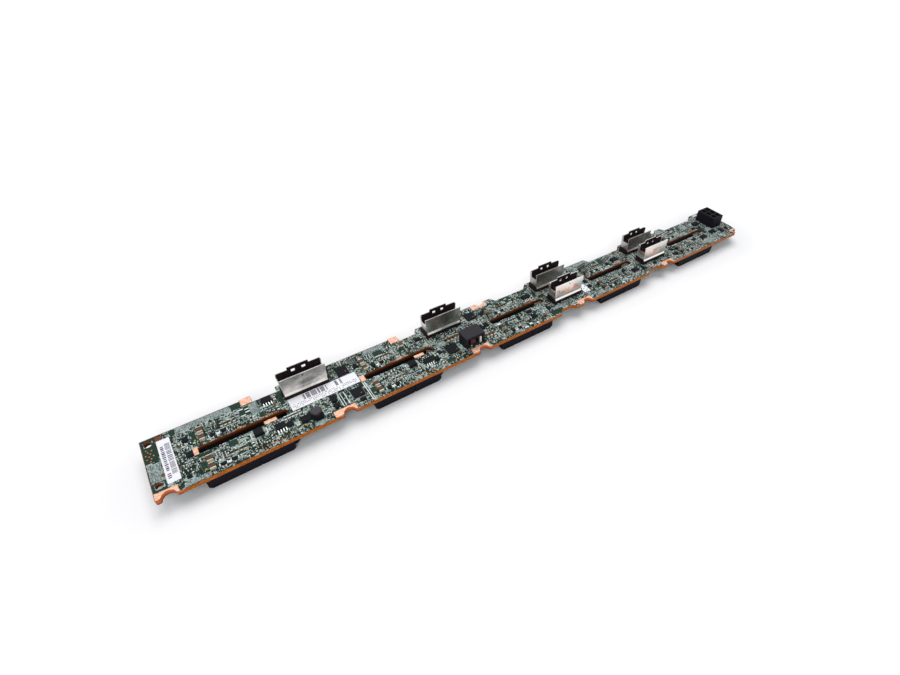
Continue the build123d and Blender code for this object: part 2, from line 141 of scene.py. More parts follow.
light = {
    "worldStrength": 0.42,
    "worldColour": "#F2F4F7",
    "white": (1.0, 1.0, 1.0, 1.0),
    "lamps": [
        # name, place, size and power; each aims at the middle of the board
        ("overhead", (0.04, 0.20, 1.08), 1.0, 7.6),
        ("front", (-0.55, -0.85, 0.80), 0.8, 4.2),
    ],
    "floorSize": 4.0,
    "floorDrop": 0.00005,  # keeps the floor just clear of the sockets that stand on it
    "floorColour": "#FBFBFC",
    "liftFrom": (0.022, 0.12),  # metres from the board's middle line between which the floor's glow rises
    "lift": (0.0, 0.75),  # the glow close to the board and away from it
    "lineEnd": 0.2,  # metres from the middle to either end of that line
}


def seenRays(add):
    # 1 for rays of the camera, of reflections and of glass, and 0 for the light that falls on things
    rays = add("LightPath").outputs
    seen = add("Math", [rays["Is Camera Ray"], rays["Is Glossy Ray"]], "MAXIMUM")
    return add("Math", [seen, rays["Is Transmission Ray"]], "MAXIMUM")


world = bpy.data.worlds.new("studio")
world.use_nodes = True
world.node_tree.nodes.clear()
bpy.context.scene.world = world
add = partial(addNode, world.node_tree)
soft = add("Background", {"Color": hexColour(light["worldColour"]), "Strength": light["worldStrength"]})
white = add("Background", {"Color": light["white"], "Strength": 1.0})
add("OutputWorld", [add("MixShader", [seenRays(add), soft, white])])

for name, place, size, power in light["lamps"]:
    lampData = bpy.data.lights.new(name, "AREA")
    lampData.shape = "DISK"
    lampData.size = size
    lampData.energy = power
    lamp = bpy.data.objects.new(name, lampData)
    lamp.location = place
    lamp.rotation_euler = (-Vector(place)).to_track_quat("-Z", "Y").to_euler()
    bpy.context.collection.objects.link(lamp)

# The floor keeps the shadow beside the board. Away from the board its own white is lifted for the camera and
# for reflections
floorMesh = bpy.data.meshes.new("floor")
half = light["floorSize"] / 2
floorCorners = [(-half, -half, 0), (half, -half, 0), (half, half, 0), (-half, half, 0)]
floorMesh.from_pydata(floorCorners, [], [(0, 1, 2, 3)])
floor = bpy.data.objects.new("floor", floorMesh)
floor.location.z = -light["floorDrop"]
bpy.context.collection.objects.link(floor)
floorMaterial = bpy.data.materials.new("white_sweep")
floorMaterial.use_nodes = True
floorMaterial.node_tree.nodes.clear()
floorMesh.materials.append(floorMaterial)
add = partial(addNode, floorMaterial.node_tree)
away = add("VectorMath", [add("TexCoord").outputs["Object"]], "ABSOLUTE")
past = add("VectorMath", [away, (light["lineEnd"], 0.0, 0.0)], "SUBTRACT")
past = add("VectorMath", [past, (0.0, 0.0, 0.0)], "MAXIMUM")
distance = add("VectorMath", [past], "LENGTH").outputs["Value"]
rise = add("MapRange", [distance, *light["liftFrom"], *light["lift"]], interpolation_type="SMOOTHSTEP")
lift = add("Math", [seenRays(add), rise], "MULTIPLY")
matt = add("BsdfDiffuse", {"Color": hexColour(light["floorColour"])})
glow = add("Emission", {"Color": light["white"], "Strength": lift})
add("OutputMaterial", [add("AddShader", [matt, glow])])
print("camera, light and floor set")


# The bare board

boardLook = {
    # each ramp's places and colours
    "mask": [(0.43, "#14271F"), (0.62, "#31423B"), (0.84, "#ABBBB6")],
    "edge": [(0.32, "#854110"), (0.55, "#B2611E"), (0.75, "#D28638")],
    # painted shade for the walls of slots and holes: darkest at the bottom
    "slot": [(0.1, "#38190A"), (0.6, "#6A3413"), (0.98, "#A85B22")],
    "plated": [(0.3, "#8E3A14"), (1.0, "#D0703A")],  # copper on the notches' walls
    "rim": "#7C3F25",  # the thin bare line along the far edge and both ends
    "rimFromMiddle": (208.5, 18.0),
    "pourSize": 4.6,  # mm across one patch of copper under the mask
    "padSize": 0.95,  # mm across the finer patches
    "trackPitch": 0.75,  # mm, drawn about twice as coarse as real tracks so that they show
    "patchSize": 9.0,  # mm across a stretch that is darker or paler as a whole
    "darkest": -0.65,  # the tone where all four patterns are at nought
    "trackShare": 0.34,
    "pourShare": 0.45,
    "padShare": 0.75,
    "patchShare": 0.85,
    "plyTurn": 22.0,  # radians per mm of thickness, one turn for each ply of glass cloth
    "plyShare": 0.13,
    "firstNotch": 5.3,
    "notchReach": 5.6,  # mm to either side of a notch's middle
    "notchDepth": 4.35,
    "inside": (208.6, 13.8),  # walls nearer to both middle lines are a slot's or the near hole's
    "farHole": (3.1, 33.8),
    "farHoleReach": 2.5,
}


def maskTone(add, flat):
    # How pale the mask is: square patches of copper, finer patches, tracks and long soft stretches, each
    # times its share
    patches = []
    for size, randomness in ((boardLook["pourSize"], 0.85), (boardLook["padSize"], 0.9)):
        inputs = {"Vector": flat, "Scale": 1 / size, "Randomness": randomness}
        cells = add("TexVoronoi", inputs, distance="CHEBYCHEV")
        patches.append(add("SeparateColor", [cells.outputs["Color"]]))
    pours, pads = patches
    # A wave texture repeats every 0.314 at a scale of 1
    inputs = {"Vector": flat, "Scale": 0.314 / boardLook["trackPitch"], "Distortion": 0.0}
    along, across = (add("TexWave", inputs, bands_direction=way).outputs["Fac"] for way in "YX")
    whichWay = add("Math", [pours.outputs[1], 0.5], "GREATER_THAN")
    tracks = add("Mix", {0: whichWay, 2: along, 3: across}, data_type="FLOAT")
    inputs = {"Vector": flat, "Scale": 1 / boardLook["patchSize"], "Detail": 2.0, "Roughness": 0.6}
    soft = add("TexNoise", inputs)
    shares = {"trackShare": tracks, "pourShare": pours, "padShare": pads, "patchShare": soft}
    tone = boardLook["darkest"]
    for share, pattern in shares.items():
        tone = add("Math", [pattern, boardLook[share], tone], "MULTIPLY_ADD")
    return tone


def wallColour(add, millimetres, place, sizes):
    # Layered glass fibre along the outline, brown with painted shade in slots and holes, darkest at their
    # bottom, and copper in the notches, darker towards the bottom
    grain = add("TexNoise", {"Vector": millimetres, "Scale": 1.6, "Detail": 5.0, "Roughness": 0.6})
    plies = add("Math", [add("Math", [place[2], boardLook["plyTurn"]], "MULTIPLY")], "SINE")
    layers = add("Math", [plies, boardLook["plyShare"], grain], "MULTIPLY_ADD")
    edge = add("ValToRGB", [layers], stops=boardLook["edge"])
    # Painted shade in slots and holes: their walls darken towards the bottom of the board
    depth = add("MapRange", [place[2], board["top"] - board["thickness"], board["top"]])
    slot = add("ValToRGB", [depth], stops=boardLook["slot"])
    # A notch's wall: the distance along the board to the nearest notch's middle is a wrapped coordinate
    half = board["columnPitch"] / 2
    start = add("Math", [place[0], board["middleU"] - boardLook["firstNotch"]], "ADD")
    toNotch = add("Math", [add("Math", [start, half, -half], "WRAP")], "ABSOLUTE")
    byNotch = add("Math", [toNotch, boardLook["notchReach"]], "LESS_THAN")
    nearSide = add("Math", [place[1], boardLook["notchDepth"] - board["middleV"]], "LESS_THAN")
    isPlated = add("Math", [byNotch, nearSide], "MULTIPLY")
    platedDepth = add("Math", [grain, 0.5, depth], "MULTIPLY_ADD")
    plated = add("ValToRGB", [platedDepth], stops=boardLook["plated"])
    outer = add("Mix", {0: isPlated, 6: edge, 7: plated}, data_type="RGBA").outputs[2]
    # A slot's wall lies well inside both half sizes, or close to the far screw hole's middle; these walls
    # take the painted shade
    insideU, insideV = (add("Math", [sizes[k], boardLook["inside"][k]], "LESS_THAN") for k in (0, 1))
    inMiddle = add("Math", [insideU, insideV], "MULTIPLY")
    holeU, holeV = boardLook["farHole"]
    hole = (holeU - board["middleU"], holeV - board["middleV"], board["top"] - board["thickness"] / 2)
    fromHole = add("VectorMath", [millimetres, hole], "DISTANCE").outputs["Value"]
    inHole = add("Math", [fromHole, boardLook["farHoleReach"]], "LESS_THAN")
    inSlot = add("Math", [inMiddle, inHole], "MAXIMUM")
    return add("Mix", {0: inSlot, 6: outer, 7: slot}, data_type="RGBA").outputs[2]


def makeBoardMaterial():
    # Solder mask over glass fibre laminate: glossy dark green, paler where copper lies under it, with
    # orange-brown layered edges where it was routed
    darkest = boardLook["mask"][0][1]
    material, add, shader = newMaterial("solder_mask_on_glass_fibre", darkest, 0.38, specular=0.12, ior=1.35)
    millimetres = add("VectorMath", {0: add("TexCoord").outputs["Object"], "Scale": 1000.0}, "SCALE")
    flat = add("VectorMath", [millimetres, (1.0, 1.0, 0.0)], "MULTIPLY")
    place = add("SeparateXYZ", [millimetres]).outputs
    sizes = add("SeparateXYZ", [add("VectorMath", [millimetres], "ABSOLUTE")]).outputs
    tone = maskTone(add, flat)
    mask = add("ValToRGB", [tone], stops=boardLook["mask"])
    # The rim lies outside a box a little smaller than the board
    rimU, rimV = boardLook["rimFromMiddle"]
    pastEnds = add("Math", [sizes[0], rimU], "GREATER_THAN")
    pastFar = add("Math", [place[1], rimV], "GREATER_THAN")
    onRim = add("Math", [pastEnds, pastFar], "MAXIMUM")
    face = add("Mix", {0: onRim, 6: mask, 7: hexColour(boardLook["rim"])}, data_type="RGBA").outputs[2]
    slope = add("SeparateXYZ", [add("NewGeometry").outputs["Normal"]]).outputs[2]
    onFace = add("Math", [add("Math", [slope], "ABSOLUTE"), 0.5], "GREATER_THAN")
    walls = wallColour(add, millimetres, place, sizes)
    colour = add("Mix", {0: onFace, 6: walls, 7: face}, data_type="RGBA").outputs[2]
    relief = add("Bump", {"Height": tone, "Strength": 0.25, "Distance": 0.00005})
    setInputs(shader, {"Base Color": colour, "Normal": relief})
    return material


boardMaterial = makeBoardMaterial()


def grained(name, base, other, roughness, metallic=0.0, grain=0.4, bump=0.1, stretch=(1, 1, 1), **gloss):
    # Two close colours in a fine noise, whose relief also breaks up the gloss; the grain's size is in mm
    material, add, shader = newMaterial(name, base, roughness, metallic, **gloss)
    scale = [1000 * part for part in stretch]
    sized = add("Mapping", {"Vector": add("TexCoord").outputs["Object"], "Scale": scale})
    noise = add("TexNoise", {"Vector": sized, "Scale": 1 / grain, "Detail": 4.0, "Roughness": 0.6})
    ramp = add("ValToRGB", [noise], stops=[(0.35, base), (0.68, other)])
    relief = add("Bump", {"Height": noise, "Strength": bump, "Distance": 0.0001})
    setInputs(shader, {"Base Color": ramp, "Normal": relief})
    return material


def shadeColour(material, share):
    # Multiplies a material's own colour by what a node gives
    shader = material.node_tree.nodes["Principled BSDF"]
    inputs = {0: shader.inputs["Base Color"].links[0].from_socket, "Scale": share}
    setInputs(shader, {"Base Color": addNode(material.node_tree, "VectorMath", inputs, "SCALE")})


def blendColour(material, share, code):
    # Blends a material's own colour with another by the share that a node gives
    shader = material.node_tree.nodes["Principled BSDF"]
    inputs = {0: share, 6: shader.inputs["Base Color"].links[0].from_socket, 7: hexColour(code)}
    blend = addNode(material.node_tree, "Mix", inputs, data_type="RGBA")
    setInputs(shader, {"Base Color": blend.outputs[2]})


def paintSideShade(material, sideShare, topShare, sideSlope, topSlope):
    # Paints shade on a material, darker on its sides and paler on its top, by how far its surface faces up
    add = partial(addNode, material.node_tree)
    slope = add("SeparateXYZ", [add("NewGeometry").outputs["Normal"]]).outputs[2]
    shadeColour(material, add("MapRange", [slope, sideSlope, topSlope, sideShare, topShare]))


# Plastics

# Liquid crystal polymer, moulded: nearly black, faintly matt, a little lighter along its flow marks
mouldedLcp = grained("moulded_lcp", "#17161C", "#232129", 0.48, 0.0, 0.5, 0.12, specular=0.08, ior=1.3)
# The same polymer in the cable sockets, a brownish batch, dusty in the open
socketLcp = grained("moulded_lcp_brownish", "#1E171B", "#33292D", 0.5, 0.0, 0.6, 0.12, specular=0.1, ior=1.3)
# Power socket moulding: dark grey nylon, lighter than the drive sockets, with painted shade: darker sides and
# a paler top
powerNylon = grained("moulded_nylon", "#312F34", "#3E3C41", 0.5, 0.0, 0.5, 0.12, specular=0.12, ior=1.3)
paintSideShade(powerNylon, 0.42, 1.0, 0.2, 0.8)
# Insert in the power socket: dull red
redInsert = grained("red_insert", "#3A0F12", "#54181A", 0.45, 0.0, 0.5, 0.05, specular=0.3)
# Epoxy moulding compound: dark grey, matt, finely pitted by the mould
epoxyMoulding = grained("epoxy_moulding", "#15161A", "#26272C", 0.5, 0.0, 0.25, 0.15, specular=0.1, ior=1.3)

# The cable sockets' shells

shells = {
    "smudgeShare": 0.68,
    "marks": [
        # middle and stretch, where its border lies, how ragged it is, and its darkest share
        # a darker brownish patch low on the first shell, about 13 by 4 mm
        ((-0.1320, 0.0, 0.0178), (150.0, 0.0, 420.0), (0.95, 1.6), 1.0, 0.42),
        # the second shell is painted darker nearly all over its front: a painted reflection of the dark board
        ((-0.0512, 0.0, 0.0185), (80.0, 0.0, 150.0), (1.0, 2.0), 1.6, 0.52),
    ],
    "pastMiddle": 0.01,  # metres along the board: the first two shells come before it
    "farRow": 0.002,  # metres across it: the near row's two shells come before it
    # painted reflection: how dark the third and fifth shells are made for the dark board they reflect
    "farReflectionShade": 0.62,
    # painted reflections on the near row's two shells: the bright floor, and the copper pads half way up
    "nearReflectionColour": "#F3EFEB",
    "copperReflection": "#DCAFA2",
    "copperReflectionShare": 0.95,
    "copperReflectionHeight": 0.0185,
    "copperReflectionReach": 0.0018,
}


def makeShellMaterial():
    # Nickel-plated steel sheet, folded: pale warm grey with fine upright drawing marks and darker smudges,
    # and painted reflections of the board, the floor and the copper pads on some shells
    upright = (3.0, 3.0, 0.35)
    material = grained("nickel_plated_steel", "#CFCAC4", "#F6F3EE", 0.28, 1.0, 0.5, 0.08, upright)
    add = partial(addNode, material.node_tree)
    coords = add("TexCoord").outputs["Object"]
    place = add("SeparateXYZ", [coords]).outputs
    smudge = add("TexNoise", {"Vector": coords, "Scale": 190.0, "Detail": 3.0, "Roughness": 0.7})
    shadeColour(material, add("MapRange", [smudge, 0.45, 0.65, 1.0, shells["smudgeShare"]]))
    # A mark is an oval, darkest in its middle, whose border is broken up by finer noise
    speckle = add("TexNoise", {"Vector": coords, "Scale": 900.0, "Detail": 3.0, "Roughness": 0.7})
    for middle, stretch, border, ragged, darkest in shells["marks"]:
        oval = add("VectorMath", [add("VectorMath", [coords, middle], "SUBTRACT"), stretch], "MULTIPLY")
        radius = add("VectorMath", [oval], "LENGTH").outputs["Value"]
        broken = add("Math", [speckle, ragged, radius], "MULTIPLY_ADD")
        shadeColour(material, add("MapRange", [broken, *border, darkest, 1.0]))
    # The third and fifth shells, in the far row past the middle, are painted darker: a painted reflection of
    # the dark board
    pastMiddle = add("Math", [place[0], shells["pastMiddle"]], "GREATER_THAN")
    inFarRow = add("Math", [place[1], shells["farRow"]], "GREATER_THAN")
    showsDarkReflection = add("Math", [pastMiddle, inFarRow], "MULTIPLY")
    shadeColour(material, add("MapRange", [showsDarkReflection, 0.0, 1.0, 1.0, shells["farReflectionShade"]]))
    # The near row's two get a painted reflection: near white for the floor beyond the near edge, with pale
    # salmon patches half way up painted for the copper pads they reflect
    inNearRow = add("Math", [1.0, inFarRow], "SUBTRACT")
    blendColour(material, inNearRow, shells["nearReflectionColour"])
    halfWay = add("Math", [place[2], shells["copperReflectionHeight"], shells["copperReflectionReach"]], "COMPARE")
    reflectionNoise = add("TexNoise", {"Vector": coords, "Scale": 260.0, "Detail": 2.0, "Roughness": 0.5})
    copperReflected = add("MapRange", [reflectionNoise, 0.48, 0.60, 0.0, shells["copperReflectionShare"]])
    inBand = add("Math", [copperReflected, halfWay], "MULTIPLY")
    blendColour(material, add("Math", [inBand, inNearRow], "MULTIPLY"), shells["copperReflection"])
    return material


nickelSteel = makeShellMaterial()

# Other metals

# Gold plating over nickel, thin: pale yellow and bright
goldPlating = grained("gold_plating", "#C9A24C", "#E2C27A", 0.28, 1.0, 0.4, 0.05)
# Tin-plated terminals, reflowed: bright grey with a slight frost
tinnedMetal = grained("tinned_terminals", "#B4B7B2", "#E9EAE5", 0.36, 1.0, 0.4, 0.15)
# Fired terminals of ceramic chips under solder: cream, soft gloss
creamTerminal = grained("soldered_chip_ends", "#CFC4AA", "#EFE6D2", 0.38, 0.3, 0.5, 0.15)
# Reflowed solder on small pads: pale blue-grey
solderPaste = grained("reflowed_solder", "#B9C4C0", "#F1F5F3", 0.36, 0.45, 0.35, 0.2)
# Power blades: tin bronze, painted dark for the shade inside their socket
shadedBronze = grained("shaded_bronze", "#2E2319", "#463828", 0.5, 0.4, 0.6, 0.05, specular=0.2)
# Diode tabs: grey tin, dulled by soldering
dullTin = grained("dull_tin", "#7F807C", "#A5A6A1", 0.45, 0.5, 0.5, 0.1)
# Bare tinned or gilt ring of a plated hole: dull olive gold
viaRing = grained("plated_holes", "#7D7440", "#A89A55", 0.4, 0.6, 0.4, 0.1)
# Copper showing at the cut ends of tracks along an edge: bright orange
cutCopper = grained("cut_copper", "#A65A26", "#D28A55", 0.45, 0.4, 0.4, 0.1)
# Bare copper under a clear protective film: pale salmon, softly bright
bareCopper = grained("protected_copper", "#D98F6C", "#F9D6BF", 0.42, 0.3, 1.3, 0.25, specular=0.35)

# Mask, paint and paper

# Solder mask over bare laminate: dark green, even and glossy
maskOnly = grained("solder_mask_dark", "#12281F", "#1E3C31", 0.35, 0.0, 0.7, 0.06, specular=0.15)
# Solder mask over a copper pour: pale grey-green with fine tracks drawn along it
along = (2.0, 0.45, 1.0)
maskPour = grained("solder_mask_on_copper", "#30433E", "#BAC7C6", 0.38, 0.0, 0.6, 0.12, along, specular=0.12)
# Laminate left bare: brown
bareLaminate = grained("bare_laminate", "#5A2E16", "#744021", 0.5, 0.0, 0.8, specular=0.3)
# Legend paint: flat off-white
legendPaint = grained("legend_paint", "#DCE4E0", "#F2F5F3", 0.6, 0.0, 0.5, 0.05)
# Coated paper: white, matt
coatedPaper = grained("coated_paper", "#EFEFF5", "#F8F8FB", 0.65, 0.0, 1.2, 0.03, specular=0.2)
# Thermal print on the labels: dark violet-grey, flat
inkPrint = grained("printed_ink", "#3A3550", "#5A546E", 0.6, 0.0, 0.5, 0.0, specular=0.2)

# Ceramics

# Sintered ferrite, coated: dark grey with a soft sheen, with painted shade: paler on top and its round side
# nearly black
ferriteCore = grained("sintered_ferrite", "#2F2E33", "#403F45", 0.45, 0.0, 0.4, 0.12, specular=0.3, ior=1.4)
paintSideShade(ferriteCore, 0.22, 1.25, 0.4, 0.9)
# Tan and grey ceramic of the smallest capacitors
tanCeramic = grained("small_capacitor_ceramic", "#6B5A48", "#8E7A64", 0.45, 0.0, 0.5, 0.05, specular=0.3)
# Film over alumina: nearly black on top of small chips
resistorFilm = grained("resistor_film", "#141417", "#232227", 0.4, 0.0, 0.4, 0.05, specular=0.25)
# Chip capacitor ceramic: brown, smooth, faintly mottled
capacitorCeramic = grained("capacitor_ceramic", "#40291F", "#5C3E33", 0.4, 0.0, 0.6, 0.06, specular=0.3)
# From the third column on the capacitors are darker: nearly black, with duller ends
thirdColumn = (-0.026, -0.024)  # metres along the board
for material, share in ((capacitorCeramic, 0.3), (creamTerminal, 0.62)):
    add = partial(addNode, material.node_tree)
    place = add("SeparateXYZ", [add("TexCoord").outputs["Object"]]).outputs
    shadeColour(material, add("MapRange", [place[0], *thirdColumn, 1.0, share]))

moulded = ("quad_chips", "controller_chip", "regulator_chip", "small_chips", "transistor_bodies", "coil_base")
finishes = [
    (("circuit_board",), boardMaterial),
    (("drive_socket", "end_power_housing"), mouldedLcp),
    (("cable_insulator",), socketLcp),
    (("mid_power_housing",), powerNylon),
    (("drive_contacts", "cable_contacts"), goldPlating),
    (("mid_power_contacts",), shadedBronze),
    (("cable_shell",), nickelSteel),
    (("end_power_pins", "transistor_leads"), tinnedMetal),
    (("diode_tabs",), dullTin),
    ((*moulded, "power_diodes", "signal_diodes"), epoxyMoulding),
    (("coil_core",), ferriteCore),
    (("ceramic_capacitors",), capacitorCeramic),
    (("chip_resistors",), resistorFilm),
    (("paper_labels",), coatedPaper),
]
for starts, material in finishes:
    for name, node in nodes.items():
        if name.startswith(starts):
            for slot in node.material_slots:
                slot.material = material
            if not node.material_slots:
                node.data.materials.append(material)
print("materials set")


# Pieces that the scene adds: most are sets of low blocks standing on the board


def newPiece(name, points, quads, material):
    # points in mm in the board's own measure become metres in the model's frame
    mesh = bpy.data.meshes.new(name)
    placed = (points + [-board["middleU"], -board["middleV"], board["top"]]) / 1000
    mesh.from_pydata(placed.tolist(), [], quads.tolist())
    mesh.materials.append(material)
    piece = bpy.data.objects.new(name, mesh)
    bpy.context.collection.objects.link(piece)
    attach(piece, "root")


squareOutline = np.array([[-1.0, -1.0], [1.0, -1.0], [1.0, 1.0], [-1.0, 1.0]])
roundAngles = (np.arange(8) + 0.5) * math.pi / 4
roundOutline = np.stack([np.cos(roundAngles), np.sin(roundAngles)], 1)
rings = {
    # up each kind of block: how far the outline is drawn in, in mm, and the share of the height
    "plain": ((0.0, 0.0), (0.0, 1.0)),
    "moulded": ((0.0, 0.0), (0.0, 0.75), (0.06, 1.0)),
    "end": ((0.0, 0.0), (0.0, 0.7), (0.1, 1.0)),
    "pad": ((0.0, 0.0), (0.0, 0.4), (0.08, 1.0)),
    "whitePad": ((0.0, 0.0), (0.0, 0.4), (0.06, 1.0)),
    "chip": ((0.0, 0.0), (0.0, 0.85), (0.05, 1.0)),
    "solder": ((0.0, 0.0), (0.05, 0.55), (0.09, 1.0)),
    "spot": ((0.0, 0.0), (0.0, 0.5), (0.05, 1.0)),
}
leastHalf = 0.01  # mm, half of the least length or width that a ring is drawn in to


def block(u, v, length, width, height, base=0.0, turn=0.0):
    # One block, by its middle and its size in mm and its turn in degrees
    return u, v, length, width, base, height, turn


def blockFrom(u0, u1, v0, v1, height):
    # One block, by the lines it lies between
    return block((u0 + u1) / 2, (v0 + v1) / 2, u1 - u0, v1 - v0, height)


def standingBlocks(name, rows, material, kind="plain", outline=squareOutline):
    # A block's point is its outline's corner times half its length and width, drawn in by the ring's inset,
    # turned, moved to u and v, and lifted to the ring's share of the height. Rings are joined by four-sided
    # faces and both ends are capped
    rows = np.asarray(rows, float).reshape(-1, 7)
    count, corners, levels = len(rows), len(outline), len(rings[kind])
    inset, share = np.array(rings[kind]).T
    halves = rows[:, None, 2:4] / 2 - inset[None, :, None]
    flat = outline[None, None] * np.maximum(halves, leastHalf)[:, :, None, :]
    turn = np.radians(rows[:, 6])[:, None, None]
    points = np.empty((count, levels, corners, 3))
    points[..., 0] = flat[..., 0] * np.cos(turn) - flat[..., 1] * np.sin(turn) + rows[:, 0, None, None]
    points[..., 1] = flat[..., 0] * np.sin(turn) + flat[..., 1] * np.cos(turn) + rows[:, 1, None, None]
    points[..., 2] = (rows[:, 4, None] + rows[:, 5, None] * share)[..., None]
    here = np.arange(corners)
    after = (here + 1) % corners
    side = np.stack([here, after, after + corners, here + corners], 1)
    sides = [side + level * corners for level in range(levels - 1)]
    strip = np.arange(corners // 2 - 1)
    cap = np.stack([strip, strip + 1, corners - 2 - strip, corners - 1 - strip], 1)
    quads = np.concatenate(sides + [cap[:, ::-1], cap + (levels - 1) * corners])
    quads = (quads[None] + (np.arange(count) * corners * levels)[:, None, None]).reshape(-1, 4)
    newPiece(name, points.reshape(-1, 3), quads, material)


# Where the board's upper face is bare: the first surface met from above, on a grid
surface = {
    "step": 0.25,
    "above": 0.1,  # metres, where the look down starts
    "nearness": 0.02,
}
step = surface["step"]
allPoints, allFaces, offset = [], [], 0
for node in nodes.values():
    mesh = node.data
    mesh.calc_loop_triangles()
    places = np.empty(3 * len(mesh.vertices), np.float32)
    mesh.vertices.foreach_get("co", places)
    corners = np.empty(3 * len(mesh.loop_triangles), np.int32)
    mesh.loop_triangles.foreach_get("vertices", corners)
    allPoints.append(places.reshape(-1, 3))
    allFaces.append(corners.reshape(-1, 3) + offset)
    offset += len(mesh.vertices)
skyTree = BVHTree.FromPolygons(np.concatenate(allPoints).tolist(), np.concatenate(allFaces).tolist())
gridU = np.arange(0, board["length"] + 0.01, step)
gridV = np.arange(0, board["width"] + 1.0, step)
free = np.zeros((len(gridU), len(gridV)), bool)
down = Vector((0, 0, -1))
for i, u in enumerate(gridU):
    for j, v in enumerate(gridV):
        start = Vector(((u - board["middleU"]) / 1000, (v - board["middleV"]) / 1000, surface["above"]))
        hit = skyTree.ray_cast(start, down)[0]
        free[i, j] = hit is not None and abs(hit.z * 1000 - board["top"]) < surface["nearness"]
openBoard = free.copy()
print("bare surface found:", round(float(free.mean()), 3))


def cellsUnder(u, v, length, width):
    # The grid's cells under a block, or none if it reaches past the grid
    low = math.floor((u - length / 2) / step)
    high = math.ceil((u + length / 2) / step) + 1
    near = math.floor((v - width / 2) / step)
    far = math.ceil((v + width / 2) / step) + 1
    if low < 0 or near < 0 or high > free.shape[0] or far > free.shape[1]:
        return None
    return slice(low, high), slice(near, far)


def claim(u, v, length, width):
    # Takes a place on the board if it is all bare and nothing was put there before
    cells = cellsUnder(u, v, length, width)
    if cells is None or not free[cells].all():
        return False
    free[cells] = False
    return True


def takeUp(u0, u1, v0, v1):
    # Takes a place without a look at what is there
    cells = cellsUnder((u0 + u1) / 2, (v0 + v1) / 2, u1 - u0, v1 - v0)
    if cells:
        free[cells] = False


def takeUpRows(rows):
    for u, v, length, width, *rest in rows:
        takeUp(u - length / 2, u + length / 2, v - width / 2, v + width / 2)


# Copper left bare at the slots' ends, on the tongues and the tabs, and round the notches

copper = {
    "thickness": 0.035,
    "rects": [
        # u from, u to, v from, v to
        (18.9, 20.9, 15.5, 19.9), (100.5, 102.9, 15.5, 19.9), (50.3, 56.1, 15.6, 17.6),
        (132.3, 138.1, 15.6, 17.6), (44.35, 49.55, 33.7, 38.15), (126.35, 131.55, 33.7, 38.15),
        (410.6, 415.6, 3.35, 5.4), (410.6, 411.9, 1.0, 3.35),
    ],
    "notchRadius": 3.1,
    "before": 7.3,  # mm from a notch's middle to the pad's left end
    "after": 4.2,
    "near": 0.3,
    "depth": 4.2,
    "ends": (0.2, 0.3),  # kept clear at the board's left and right ends
    "clear": 0.16,  # kept clear of every edge
    "lip": (0.9, 0.5),  # the rounded lip beside a notch: its reach and its depth
    "corner": (1.0, 0.5),  # and the board's own rounded corner
    "farNotch": (189.5, 38.4, 3.3),  # middle and radius of the notch in the far edge
    "farNotchPad": (182.4, 193.4, 33.4, 37.2),
    "samples": 40,
    "narrowest": 0.05,
}
notchMiddles = [boardLook["firstNotch"] + k * board["columnPitch"] for k in range(board["columns"])]

for rect in copper["rects"]:
    takeUp(*rect)
copperRows = [blockFrom(*rect, copper["thickness"]) for rect in copper["rects"]]
standingBlocks("copper_pads", copperRows, bareCopper)


def stripPad(across, low, high):
    # A pad as a strip: at each u of across it spans from low to high in v, with a flat top
    points = np.empty((len(across), 2, 2, 3))
    points[..., 0] = across[:, None, None]
    points[..., 1] = np.stack([low, np.maximum(low + copper["narrowest"], high)], 1)[:, :, None]
    points[..., 2] = np.array([0.0, copper["thickness"]])
    return points


def notchPad(middle):
    # Round a near notch the pad's near line is the notch's circle, or beside it the edge with its rounded lip
    radius = copper["notchRadius"]
    leftEnd, rightEnd = copper["ends"]
    left = max(middle - copper["before"], leftEnd)
    right = min(middle + copper["after"], board["length"] - rightEnd)
    across = np.linspace(left, right, copper["samples"])
    away = np.abs(across - middle)
    near = np.where(away < radius, np.sqrt(np.maximum(radius ** 2 - away ** 2, 0.0)), 0.0)
    reach, depth = copper["lip"]
    lip = np.clip((radius + reach - away) / reach, 0, 1) * (away >= radius) * depth
    near = near + lip + copper["clear"]
    reach, depth = copper["corner"]
    if middle < copper["before"]:
        near = near + np.clip((reach - across) / reach, 0, 1) * depth
    return stripPad(across, near, np.full(copper["samples"], copper["depth"]))


def farNotchPad():
    # Round the far notch the pad's far line is the notch's circle, or beside it a line close to the edge
    middle, centre, radius = copper["farNotch"]
    left, right, low, high = copper["farNotchPad"]
    across = np.linspace(left, right, copper["samples"])
    away = np.abs(across - middle)
    circle = centre - np.sqrt(np.maximum((radius + copper["clear"]) ** 2 - away ** 2, 0.0))
    return stripPad(across, np.full(copper["samples"], low), np.minimum(high, circle))


padStrips = [notchPad(middle) for middle in notchMiddles] + [farNotchPad()]
points = np.array(padStrips).reshape(-1, 3)
loop = np.array([0, 2, 3, 1])  # near low, far low, far high, near high
last = copper["samples"] - 1
here = loop[None, :] + 4 * np.arange(last)[:, None]
after = np.roll(here, -1, 1)
quads = np.stack([here, here + 4, after + 4, after], 2).reshape(-1, 4)
quads = np.concatenate([quads, [loop, loop[::-1] + 4 * last]])
quads = (quads[None] + 4 * copper["samples"] * np.arange(len(padStrips))[:, None, None]).reshape(-1, 4)
newPiece("notch_pads", points, quads, bareCopper)
for middle in notchMiddles:
    left = max(middle - copper["before"], copper["ends"][0])
    takeUp(left, middle + copper["after"], copper["near"], copper["depth"])
takeUp(*copper["farNotchPad"])
print("copper pads laid")


# Print on the labels: bars and dashes, no letters

